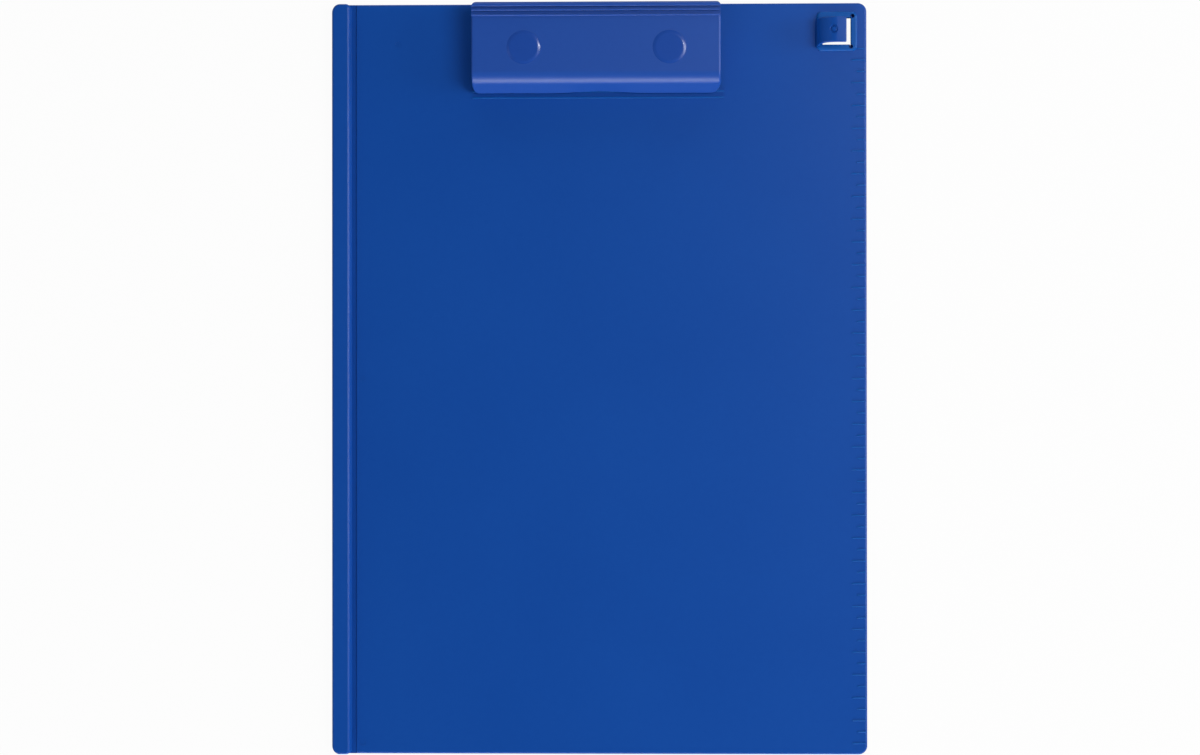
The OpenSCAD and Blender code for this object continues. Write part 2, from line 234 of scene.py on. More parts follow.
    def add(self, other: "Blank") -> "Blank":
        """Takes another blank's shape in beside this one's, and returns this blank."""
        mesh = bpy.data.meshes.new("part")
        other.tidy()
        other.bm.to_mesh(mesh)
        other.bm.free()
        self.bm.from_mesh(mesh)
        bpy.data.meshes.remove(mesh)
        return self

    def split(self, axis: int, places: Iterable[float]) -> "Blank":
        """Cuts new edges across the shape where planes pass through it.

        Args:
            axis: 0, 1 or 2 for X, Y or Z.
            places: where the planes stand along it.

        Returns:
            This blank.
        """
        normal = Vector((0, 0, 0))
        normal[axis] = 1
        for place in places:
            bmesh.ops.bisect_plane(self.bm, geom=self.bm.verts[:] + self.bm.edges[:] + self.bm.faces[:],
                                   dist=1e-5, plane_co=normal * place, plane_no=normal)
        return self

    def shift(self, test: Test, move: Callable[[Vector], Vector]) -> "Blank":
        """Moves the points that pass a test.

        Args:
            test: says of a point whether it moves.
            move: gives a point's new place.

        Returns:
            This blank.
        """
        for vert in self.bm.verts:
            if test(vert.co):
                vert.co = move(vert.co)
        return self

    def tidy(self) -> "Blank":
        """Welds doubled points and points every face outwards, and returns this blank."""
        bmesh.ops.remove_doubles(self.bm, verts=self.bm.verts, dist=WELD)
        bmesh.ops.recalc_face_normals(self.bm, faces=self.bm.faces)
        self.bm.normal_update()
        return self

    def creases(self, test: Test, angle: float = 25.0) -> list[bmesh.types.BMEdge]:
        """Finds the sharp outer edges whose middle passes a test.

        Args:
            test: says of an edge's middle whether it counts.
            angle: the least turn between the edge's faces, in degrees.

        Returns:
            The edges.
        """
        found = []
        for edge in self.bm.edges:
            if len(edge.link_faces) != 2 or edge.calc_face_angle_signed(0.0) < math.radians(angle):
                continue
            if test((edge.verts[0].co + edge.verts[1].co) / 2):
                found.append(edge)
        return found

    def round(self, test: Test, radius: float, steps: int = 3, angle: float = 25.0) -> "Blank":
        """Rounds the sharp outer edges that pass a test.

        Args:
            test: as in creases().
            radius: of the rounding.
            steps: its segments.
            angle: as in creases().

        Returns:
            This blank.
        """
        self.tidy()
        bmesh.ops.bevel(self.bm, geom=self.creases(test, angle), offset=radius, offset_type="OFFSET",
                        segments=steps, profile=0.5, affect="EDGES", material=-1, clamp_overlap=True)
        return self

    def carve(self, *cutters: "Blank", keep: bool = False) -> "Blank":
        """Cuts other blanks out of this one, or keeps only what lies inside them.

        Args:
            cutters: the other blanks, which are used up.
            keep: whether the inside of each cutter is what stays.

        Returns:
            This blank.
        """
        target = self._loose("carved")
        for cutter in cutters:
            tool = cutter._loose("cutter")
            cut = target.modifiers.new("cut", "BOOLEAN")
            cut.operation, cut.solver, cut.object = "INTERSECT" if keep else "DIFFERENCE", "EXACT", tool
            graph = bpy.context.evaluated_depsgraph_get()
            mesh = bpy.data.meshes.new_from_object(target.evaluated_get(graph))
            target.modifiers.clear()
            target.data = mesh
            bpy.data.objects.remove(tool)
        self.bm.clear()
        self.bm.from_mesh(target.data)
        bpy.data.objects.remove(target)
        return self

    def _loose(self, name: str) -> bpy.types.Object:
        """Makes a passing object of this shape, for a cut, and returns it."""
        self.tidy()
        mesh = bpy.data.meshes.new(name)
        self.bm.to_mesh(mesh)
        made = bpy.data.objects.new(name, mesh)
        bpy.context.scene.collection.objects.link(made)
        return made

    def piece(self, name: str, body: Body, slot: Slot, material: bpy.types.Material) -> bpy.types.Object:
        """Turns the shape into a finished piece, in metres.

        Args:
            name: the piece's name.
            body: the body it rides on.
            slot: not used.
            material: its finish.

        Returns:
            The piece.
        """
        self.tidy()
        bmesh.ops.scale(self.bm, vec=(MM, MM, MM), verts=self.bm.verts)
        mesh = bpy.data.meshes.new(name)
        self.bm.to_mesh(mesh)
        self.bm.free()
        mesh.shade_smooth()
        mesh.set_sharp_from_angle(angle=math.radians(SOFT_TURN))
        mesh.materials.append(material)
        made = bpy.data.objects.new(name, mesh)
        bpy.context.scene.collection.objects.link(made)
        made.modifiers.new("even shading", "WEIGHTED_NORMAL").keep_sharp = True
        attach(made, body.value)
        LOG.info("%s: %d faces, rides on %s", name, len(mesh.polygons), body.value)
        return made


# ---------------------------------------------------------------------------------------------
# Finishes
# ---------------------------------------------------------------------------------------------


class Graph:
    """A material's node tree, with short ways to add and join nodes."""

    def __init__(self, name: str) -> None:
        """Makes a material of this name with its surface shader."""
        self.material = bpy.data.materials.new(name)
        self.material.use_nodes = True
        self.tree = self.material.node_tree
        self.shader = self.tree.nodes["Principled BSDF"]
        self.place = self.add("ShaderNodeTexCoord").outputs["Object"]

    def add(self, kind: str, **values: object) -> bpy.types.Node:
        """Adds a node of this kind, sets its own properties and returns it."""
        node = self.tree.nodes.new(kind)
        for key, value in values.items():
            setattr(node, key, value)
        return node

    def join(self, source: bpy.types.NodeSocket, target: bpy.types.NodeSocket) -> None:
        """Links two sockets."""
        self.tree.links.new(source, target)

    def noise(self, scale: float, detail: float = 2.0,
              stretch: Sequence[float] = (1, 1, 1)) -> bpy.types.NodeSocket:
        """Adds noise over the piece.

        Args:
            scale: features per metre, about.
            detail: octaves.
            stretch: scale along each axis, for streaks.

        Returns:
            The noise's value.
        """
        mapping = self.add("ShaderNodeMapping")
        mapping.inputs["Scale"].default_value = stretch
        self.join(self.place, mapping.inputs["Vector"])
        node = self.add("ShaderNodeTexNoise")
        node.inputs["Scale"].default_value = scale
        node.inputs["Detail"].default_value = detail
        self.join(mapping.outputs["Vector"], node.inputs["Vector"])
        return node.outputs["Fac"]

    def spread(self, value: bpy.types.NodeSocket, low: float, high: float) -> bpy.types.NodeSocket:
        """Maps the middle span of noise, where most of its values lie, to another span.

        Args:
            value: the noise.
            low: result at the span's start.
            high: result at its end.

        Returns:
            The mapped value.
        """
        node = self.add("ShaderNodeMapRange")
        for key, number in (("From Min", 0.3), ("From Max", 0.7), ("To Min", low), ("To Max", high)):
            node.inputs[key].default_value = number
        self.join(value, node.inputs["Value"])
        return node.outputs["Result"]

    def blend(self, share: bpy.types.NodeSocket, first: Sequence[float],
              second: Sequence[float]) -> bpy.types.NodeSocket:
        """Mixes two colours.

        Args:
            share: how much of the second.
            first: linear colour where share is 0.
            second: linear colour where share is 1.

        Returns:
            The colour.
        """
        node = self.add("ShaderNodeMix", data_type="RGBA")
        self.join(share, node.inputs["Factor"])
        node.inputs[6].default_value = (*first, 1.0)
        node.inputs[7].default_value = (*second, 1.0)
        return node.outputs[2]

    def relief(self, *layers: tuple[bpy.types.NodeSocket, float, float]) -> None:
        """Stacks bumps on the surface; each layer is a height, a strength and a depth in metres."""
        below = None
        for height, strength, depth in layers:
            node = self.add("ShaderNodeBump")
            node.inputs["Strength"].default_value = strength
            node.inputs["Distance"].default_value = depth
            self.join(height, node.inputs["Height"])
            if below is not None:
                self.join(below, node.inputs["Normal"])
            below = node.outputs["Normal"]
        if below is not None:
            self.join(below, self.shader.inputs["Normal"])


@dataclass(frozen=True)
class MouldedPlastic:
    """Coloured polypropylene with a moulded grain."""

    name: str
    colour: tuple[float, float, float]
    pale: tuple[float, float, float]
    roughness: tuple[float, float]
    specular: float
    grain_scale: float
    grain: float
    ripple: float
    cloud_scale: float = 14
    cloud_share: float = 0.5
    speck_share: float = 0.3
    ripple_scale: float = 22
    ripple_depth: float = 0.0006
    grain_depth: float = 0.00012
    fine_scale: float = 3.1
    fine_share: float = 0.7
    fine_depth: float = 0.00005

    def material(self) -> bpy.types.Material:
        """Builds the finish: cloudy pigment, uneven gloss, fine grain and a slow ripple."""
        g = Graph(self.name)
        cloud = g.spread(g.noise(self.cloud_scale, 3.0), 0.0, 1.0)
        speck = g.spread(g.noise(self.grain_scale / 4), 0.0, self.speck_share)
        mixed = g.add("ShaderNodeMath", operation="ADD", use_clamp=True)
        faint = g.add("ShaderNodeMath", operation="MULTIPLY")
        faint.inputs[1].default_value = self.cloud_share
        g.join(cloud, faint.inputs[0])
        g.join(faint.outputs[0], mixed.inputs[0])
        g.join(speck, mixed.inputs[1])
        g.join(g.blend(mixed.outputs[0], self.colour, self.pale), g.shader.inputs["Base Color"])
        g.join(g.spread(g.noise(self.grain_scale), *self.roughness), g.shader.inputs["Roughness"])
        g.shader.inputs["Specular IOR Level"].default_value = self.specular
        g.relief((g.noise(self.ripple_scale, 1.0), self.ripple, self.ripple_depth),
                 (g.noise(self.grain_scale), self.grain, self.grain_depth),
                 (g.noise(self.grain_scale * self.fine_scale), self.grain * self.fine_share, self.fine_depth))
        return g.material


@dataclass(frozen=True)
class DrawnSteel:
    """Bare or plated steel with fine lines along one axis."""

    name: str
    colour: tuple[float, float, float]
    dull: tuple[float, float, float]
    roughness: tuple[float, float]
    lines: tuple[float, float, float]
    tarnish_scale: float = 160
    line_scale: float = 900
    line_strength: float = 0.18
    line_depth: float = 0.00003

    def material(self) -> bpy.types.Material:
        """Builds the finish: drawing lines, faint tarnish and uneven gloss."""
        g = Graph(self.name)
        tarnish = g.spread(g.noise(self.tarnish_scale, 4.0), 0.0, 1.0)
        g.join(g.blend(tarnish, self.colour, self.dull), g.shader.inputs["Base Color"])
        streak = g.noise(self.line_scale, 3.0, self.lines)
        g.join(g.spread(streak, *self.roughness), g.shader.inputs["Roughness"])
        g.shader.inputs["Metallic"].default_value = 1.0
        g.relief((streak, self.line_strength, self.line_depth))
        return g.material


@dataclass
class Finishes:
    """All the finishes of the object, built once."""

    board: bpy.types.Material = field(init=False)
    ridge: bpy.types.Material = field(init=False)
    clip: bpy.types.Material = field(init=False)
    boss: bpy.types.Material = field(init=False)
    pin: bpy.types.Material = field(init=False)
    spring: bpy.types.Material = field(init=False)
    rivet: bpy.types.Material = field(init=False)

    def __post_init__(self) -> None:
        """Builds the materials."""
        self.board = MouldedPlastic("satin_blue_board", (0.0030, 0.058, 0.316), (0.0044, 0.066, 0.340),
                                    (0.28, 0.34), 0.22, 1300, 0.10, 0.04).material()
        # A lighter copy of the board plastic: its paler colour is a painted highlight for the raised ticks,
        # gripping ribs and pen holder rim.
        self.ridge = MouldedPlastic("blue_ridges_painted_highlight", (0.0010, 0.072, 0.325), (0.0022, 0.084, 0.355),
                                    (0.34, 0.40), 0.16, 1300, 0.06, 0.04).material()
        self.clip = MouldedPlastic("satin_blue_clip", (0.0065, 0.059, 0.326), (0.0085, 0.066, 0.350),
                                   (0.35, 0.41), 0.39, 1500, 0.03, 0.03).material()
        self.boss = MouldedPlastic("polished_blue_boss", (0.0065, 0.055, 0.320), (0.0085, 0.062, 0.344),
                                   (0.18, 0.22), 0.70, 1500, 0.02, 0.02).material()
        self.pin = DrawnSteel("drawn_pin_steel", (0.56, 0.57, 0.59), (0.40, 0.40, 0.42),
                              (0.22, 0.36), (0.05, 1, 1)).material()
        self.spring = DrawnSteel("spring_wire_steel", (0.44, 0.45, 0.47), (0.28, 0.28, 0.29),
                                 (0.26, 0.40), (1, 1, 1)).material()
        self.rivet = DrawnSteel("zinc_plated_steel", (0.62, 0.62, 0.64), (0.45, 0.46, 0.47),
                                (0.30, 0.46), (1, 1, 0.4)).material()


# ---------------------------------------------------------------------------------------------
# The board
# ---------------------------------------------------------------------------------------------


@dataclass
class Board:
    """The moulded board with its paper guide, ruler, gripping ribs and pen holder. Sizes in mm."""

    half_width: float = 117.5
    half_length: float = 165.0
    thickness: float = 3.0
    corner: float = 3.8
    top_round: float = 0.9
    foot_round: float = 0.5
    guide_foot: float = -108.7
    guide_rise: float = 3.3
    guide_lean: float = 1.2
    guide_low: float = 0.55
    guide_inner: float = 1.9
    guide_round: float = 0.95
    groove_end: float = -106.9
    groove_depth: float = 0.5
    groove_draft: float = 0.15
    rivets: tuple[tuple[float, float], ...] = ((-44.0, 147.43), (41.4, 147.43))
    recess: tuple[float, float] = (4.8, 1.5)  # radius and depth
    rim_low: tuple[float, float] = (95.5, 143.8)
    rim_high: tuple[float, float] = (113.4, 161.2)
    rim_corner: float = 2.4
    rim_top: float = 4.0
    rim_round: float = 0.95
    mouth_round: float = 0.5
    hole_low: tuple[float, float] = (98.2, 146.6)
    hole_high: tuple[float, float] = (110.7, 158.6)
    pockets: tuple[tuple[float, float], ...] = ((111.3, 159.2), (110.6, 145.8))
    pocket: tuple[float, float] = (0.9, 1.6)  # radius and height of the floor
    # Place and radius of each.
    marks: tuple[Corner, ...] = ((-104.3, -159.9, 1.5), (-104.6, 0.2, 1.2), (-88.6, 147.4, 1.2))
    mark_depth: float = 0.12
    ticks: int = 62
    tick_step: float = 5.0
    tick_start: float = 4.95
    tick_margin: float = 0.7
    tick_lengths: tuple[float, float] = (5.9, 3.7)  # on the even and the odd places
    tick_half: float = 0.3
    tick_rise: float = 0.25
    grip_places: tuple[float, float] = (126.5, 123.7)
    grip_ends: tuple[float, float] = (-55.8, 55.0)
    grip_half: float = 0.4
    grip_rise: float = 0.6
    tongue_mid: tuple[float, float] = (104.1, 4.8)
    tongue_reach: float = 8.6
    tongue_rise: float = 7.7
    tongue_wall: float = 1.6
    tongue_end: float = 108.1
    tongue_droop: float = 0.1
    tongue_sides: tuple[float, float] = (146.7, 157.8)
    tongue_round: float = 0.5
    flare: tuple[float, float, float] = (99.3, 3.8, 1.5)  # where it starts, its run and width
    ring: Corner = (102.5, 152.4, 12.38)
    ring_tilt: float = -9.0
    ring_radii: tuple[float, float] = (1.4, 0.6)  # of the ring and of its section

    def panel(self, material: bpy.types.Material) -> bpy.types.Object:
        """Models the panel and its paper guide as one moulding.

        Args:
            material: the board's plastic.

        Returns:
            The piece, which stands for the CAD board.
        """
        w, l, t = self.half_width, self.half_length, self.thickness
        apart = 0.02  # keeps the panel's left face off the guide's
        blank = Blank().box((apart - w, -l, 0), (w, l, t), self.corner, 8)
        blank.round(lambda p: p.z > t - 0.01, self.top_round, 4, SHARP_TURN)
        blank.round(lambda p: p.z < 0.01, self.foot_round, 3, SHARP_TURN)
        start, end, draft = self.guide_foot - 1, self.groove_end, self.groove_draft
        floor = t - self.groove_depth
        section = [(start, floor, 0), (end - draft, floor, 0), (end + draft, t + 0.5, 0), (start, t + 0.5, 0)]
        groove = Blank().prism(section, Plane.XZ, -l - 1, l + 1)
        hole = Blank().box((*self.hole_low, -1), (*self.hole_high, t + 1))
        pits = [Blank().bar((x, y, 0), 2, self.pocket[0], self.pocket[1], t + 1, 24) for x, y in self.pockets]
        wells = [Blank().bar((x, y, 0), 2, self.recess[0], -1, self.recess[1], 48) for x, y in self.rivets]
        marks = [Blank().bar((x, y, 0), 2, r, t - self.mark_depth, t + 1, 24) for x, y, r in self.marks]
        blank.carve(groove, hole, *pits, *wells, *marks)
        blank.add(self.guide())
        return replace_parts(blank.piece("board_panel", Body.BOARD, Slot.BOARD, material), "board")

    def guide(self) -> Blank:
        """Makes the raised paper guide along the left edge.

        Returns:
            Its shape, which goes in beside the panel's.
        """
        left, foot, l = -self.half_width, self.guide_foot, self.half_length
        top = self.thickness + self.guide_rise
        corners = [(left, -l, self.corner), (foot, -l, self.guide_inner), (foot, l, self.guide_inner),
                   (left, l, self.corner)]
        blank = Blank().prism(corners, Plane.XY, self.guide_low, top, 8).tidy()
        narrow = 1 - self.guide_lean / (foot - left)
        blank.shift(lambda p: p.z > top - 0.01, lambda p: Vector((left + (p.x - left) * narrow, p.y, p.z)))
        return blank.round(lambda p: p.z > top - 0.01, self.guide_round, 5, SHARP_TURN)

    def ruler(self, material: bpy.types.Material) -> bpy.types.Object:
        """Models the raised graduations along the right edge.

        Args:
            material: the board's plastic, lightened to paint the ticks' highlights.

        Returns:
            The piece.
        """
        blank = Blank()
        right, top = self.half_width - self.tick_margin, self.thickness + self.tick_rise
        for i in range(self.ticks):
            y = self.tick_start - self.half_length + self.tick_step * i
            left = right - self.tick_lengths[i % 2]
            tick = Blank().box((left, y - self.tick_half, self.thickness - 0.1),
                               (right, y + self.tick_half, top), 0.2, 2)
            blank.add(tick.round(lambda p: p.z > top - 0.01, 0.22, 3, SHARP_TURN))
        return blank.piece("ruler_graduations", Body.BOARD, Slot.BOARD, material)

    def grips(self, material: bpy.types.Material) -> bpy.types.Object:
        """Models the two thin ribs under the clip's lip.

        Args:
            material: the board's plastic, lightened to paint the ribs' highlights.

        Returns:
            The piece.
        """
        blank = Blank()
        left, right = self.grip_ends
        half, top = self.grip_half, self.thickness + self.grip_rise
        for y in self.grip_places:
            rib = Blank().box((left, y - half, self.thickness - 0.2), (right, y + half, top), half - 0.02, 3)
            blank.add(rib.round(lambda p: p.z > top - 0.01, half - 0.03, 4, SHARP_TURN))
        return blank.piece("gripping_ribs", Body.BOARD, Slot.BOARD, material)

    def rim(self, material: bpy.types.Material) -> bpy.types.Object:
        """Models the raised rim round the pen holder's hole, with its two small pockets.

        Args:
            material: the board's plastic, lightened to paint the rim's highlights.

        Returns:
            The piece.
        """
        t, top = self.thickness, self.rim_top
        blank = Blank().box((*self.rim_low, t), (*self.rim_high, top), self.rim_corner, 6)
        blank.round(lambda p: p.z > top - 0.01, self.rim_round, 6, SHARP_TURN)
        blank.carve(Blank().box((*self.hole_low, t - 1), (*self.hole_high, top + 1)))
        blank.round(lambda p: p.z > top - 0.01, self.mouth_round, 4, SHARP_TURN)
        blank.carve(*[Blank().bar((x, y, 0), 2, self.pocket[0], t - 1, top + 1, 24) for x, y in self.pockets])
        return blank.piece("pen_holder_rim", Body.BOARD, Slot.BOARD, material)

    def tongue(self, material: bpy.types.Material) -> bpy.types.Object:
        """Models the arched tongue, with a flared root and a shallow round mark on its top.

        Args:
            material: the board's plastic.

        Returns:
            The piece.
        """
        mid_x, mid_z = self.tongue_mid
        wall, end_x, foot = self.tongue_wall, self.tongue_end, self.thickness
        front, rear = self.tongue_sides
        flare_from, flare_run, flare_width = self.flare

        def arch(a: float, b: float) -> list[Corner]:
            """Points of a quarter ellipse from its left end to its top, none rounded."""
            turns = [math.radians(180 - 90 * i / 10) for i in range(11)]
            return [(mid_x + a * math.cos(t), mid_z + b * math.sin(t), 0.0) for t in turns]

        def flare(p: Vector) -> Vector:
            """Widens the root towards the page."""
            share = min(1.0, max(0.0, (flare_from - p.x) / flare_run))
            return p - Vector((0, flare_width * (1 - math.sqrt(1 - share * share)), 0))

        tip = mid_z + self.tongue_rise - self.tongue_droop
        root = self.rim_low[0]
        outer = [(root, foot, 0.0), *arch(self.tongue_reach, self.tongue_rise), (end_x, tip, 0.0)]
        inner = [(end_x, tip - wall, 0.0), *reversed(arch(self.tongue_reach - wall, self.tongue_rise - wall)),
                 (root + wall, foot, 0.0)]
        blank = Blank().prism([*outer, *inner], Plane.XZ, front, rear)
        blank.tidy().shift(lambda p: p.y < front + 0.1, flare)
        blank.round(lambda p: p.z > foot + 0.1, self.tongue_round, 4, 40)
        radius, half = self.ring_radii
        turns = [math.radians(36 * i) for i in range(10)]
        section = [(radius + half * math.cos(t), half * math.sin(t), 0) for t in turns]
        mark = Blank().turned(section, (0, 0, 0), steps=36)
        tilt = Matrix.Translation(self.ring) @ Matrix.Rotation(math.radians(self.ring_tilt), 4, "Y")
        bmesh.ops.transform(mark.bm, matrix=tilt, verts=mark.bm.verts)
        blank.carve(mark)
        return blank.piece("pen_holder_tongue", Body.BOARD, Slot.BOARD, material)

    def build(self, finishes: Finishes) -> None:
        """Builds every piece of the board in the given finishes."""
        self.panel(finishes.board)
        self.tongue(finishes.board)
        # The raised ridges take the lightened finish, whose paler colour is a painted highlight.
        for ridge in (self.ruler, self.grips, self.rim):
            ridge(finishes.ridge)


# ---------------------------------------------------------------------------------------------
# The clip
# ---------------------------------------------------------------------------------------------


@dataclass
class Lever:
    """The clip's moulded lever with its bosses and thumb ribs. Sizes in mm."""

    left: float = -55.5
    right: float = 53.25
    rear: float = 164.4
    top: float = 15.5
    front: float = 125.5
    plan_corners: tuple[float, float, float, float] = (3.2, 4.4, 2.2, 2.4)  # from the front left
    lip_low: float = 3.65
    lip_foot: float = 125.19
    lip_slope: float = 2.356
    lip_bend: tuple[float, float] = (130.22, 6.0)  # place and radius
    lip_arch: tuple[float, float] = (1.0, 0.35)  # back and up
    edge_round: float = 0.85
    side: float = 1.9
    pin: tuple[float, float] = (138.0, 7.8)
    bosses: tuple[float, ...] = (-33.35, 30.75)
    boss_y: float = 144.4
    domes: tuple[float, ...] = (-32.7, 30.9)
    dome_radius: float = 7.3
    dome_bend: float = 6.1
    dome_slope: float = 0.22
    lugs: tuple[float, ...] = (-20.725, 18.125)
    lug_half: tuple[float, float] = (1.5, 2.9)  # across and along
    bore: float = 1.53
    # Place and half width of each.
    thumb: tuple[tuple[float, float], ...] = ((163.0, 1.0), (160.65, 0.42), (158.4, 0.42))
    thumb_rise: float = 0.6
    thumb_depth: float = 0.8

    def plan(self, inset: float) -> Blank:
        """Makes a block with the lever's outline as seen from above.

        Args:
            inset: how far its sides and rear lie inside the lever's.

        Returns:
            The block, for a cut.
        """
        left, right, rear, front = self.left + inset, self.right - inset, self.rear - inset, self.front
        a, b, c, d = self.plan_corners
        corners = [(left, front, a), (right, front, b), (right, rear, c - inset), (left, rear, d - inset)]
        return Blank().prism(corners, Plane.XY, 0, 20, 8)

    def shell(self, material: bpy.types.Material) -> bpy.types.Object:
        """Models the hollow lever, lip to rear edge, with its lugs, spring wells and pin bore.

        Args:
            material: the clip's plastic.

        Returns:
            The piece, which stands for the CAD lever.
        """
        low, top, past, short = self.lip_low, self.top, self.right + 1, self.left - 1
        skirt = [(127.99, low, 0.0), (129.07, 6.2, 0.8), (134.7, 6.2, 0.5), (136.0, 4.8, 0.5),
                 (144.19, 4.8, 2.0), (self.rear, 10.21, 0.0)]
        bend_at, bend_radius = self.lip_bend
        outside = [(self.lip_foot, low, 0.0), *skirt, (self.rear, top, 1.5), (bend_at, top, bend_radius)]
        blank = Blank().prism(outside, Plane.YZ, self.left, self.right, 8)

        def rim(p: Vector) -> bool:
            """Edges round the lever's top and down the sides of its lip."""
            on_lip = abs(p.y - self.lip_foot - (p.z - low) / self.lip_slope) < 0.3
            return p.z > 11.5 or (on_lip and p.z > 4.6)

        blank.round(rim, self.edge_round, 5)
        near, far, high = self.lip_foot - 0.01, 170, 30
        foot = [(near, low - 0.01, 0.8), (far, low - 0.01, 0.0), (far, high, 0.0),
                (near + (high - low) / self.lip_slope, high, 0.0)]
        blank.carve(self.plan(-0.02), Blank().prism(foot, Plane.YZ, short, past, 6), keep=True)
        hollow = [(127.57, 2.65, 0.0), (162.5, 2.65, 0.0), (162.5, 13.3, 0.6), (132.09, 13.3, 2.8)]
        inside = Blank().prism(hollow, Plane.YZ, self.left + self.side, self.right - self.side, 5)
        wells = [Blank().bar((x, self.boss_y, 0), 2, 4.9, 7.8, 14.9, 40) for x in self.bosses]
        grooves = Blank().box((short, self.thumb[-1][0], top - self.thumb_depth), (past, 162.4, top + 2))
        blank.carve(inside, *wells, grooves)
        half, wide = self.lug_half
        front, rear = self.pin[0] - wide, self.pin[0] + wide
        for x in self.lugs:
            lug = [(front, 4.9, wide - 0.02), (rear, 4.9, wide - 0.02), (rear, 13.6, 0.0), (front, 13.6, 0.0)]
            blank.add(Blank().prism(lug, Plane.YZ, x - half, x + half, 8))
        blank.carve(Blank().bar((0, *self.pin), 0, self.bore, short, past, 32))
        blank.split(0, [-21 + 3 * i for i in range(15)])

        def arched(p: Vector) -> Vector:
            """Draws the middle of the lip's lower edge back."""
            across = 0.5 + 0.5 * math.cos(math.pi * min(1.0, abs(p.x - 0.3) / 20))
            down = min(1.0, max(0.0, (9 - p.z) / 5.3))
            return p + Vector((0, *self.lip_arch)) * across * down * down

        blank.shift(lambda p: p.y < 131 and p.z < 9, arched)
        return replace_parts(blank.piece("lever_shell", Body.LEVER, Slot.CLIP, material), "clip_lever")

    def bossed(self, material: bpy.types.Material) -> list[bpy.types.Object]:
        """Models the two low round bosses over the springs.

        Args:
            material: the clip's plastic, polished.

        Returns:
            The pieces.
        """
        r, bend = self.dome_radius, self.dome_bend
        crest = self.dome_slope * (r - bend)
        profile = [(0, -0.3, 0), (r, -0.3, 0), (r, 0.03, 0), (bend, crest, 4.0), (0, crest, 0)]
        made = []
        for side, x in zip(("left", "right"), self.domes):
            blank = Blank().turned(profile, (x, self.boss_y, self.top), steps=72, round_steps=6)
            made.append(blank.piece(f"boss_{side}", Body.LEVER, Slot.CLIP, material))
        return made

    def ribs(self, material: bpy.types.Material) -> bpy.types.Object:
        """Models the thumb ribs across the lever's rear.

        Args:
            material: the clip's plastic.

        Returns:
            The piece.
        """
        blank = Blank()
        foot, crest = self.top - 1.0, self.top + self.thumb_rise
        for y, half in self.thumb:
            section = [(y - half, foot, 0), (y + half, foot, 0), (y + half, crest, half - 0.02),
                       (y - half, crest, half - 0.02)]
            blank.add(Blank().prism(section, Plane.YZ, self.left, self.right, 6))
        blank.carve(self.plan(0.2), keep=True)
        return blank.piece("thumb_ribs", Body.LEVER, Slot.CLIP, material)

    def build(self, finishes: Finishes) -> None:
        """Builds every piece of the lever in the given finishes."""
        self.shell(finishes.clip)
        self.bossed(finishes.boss)
        self.ribs(finishes.clip)


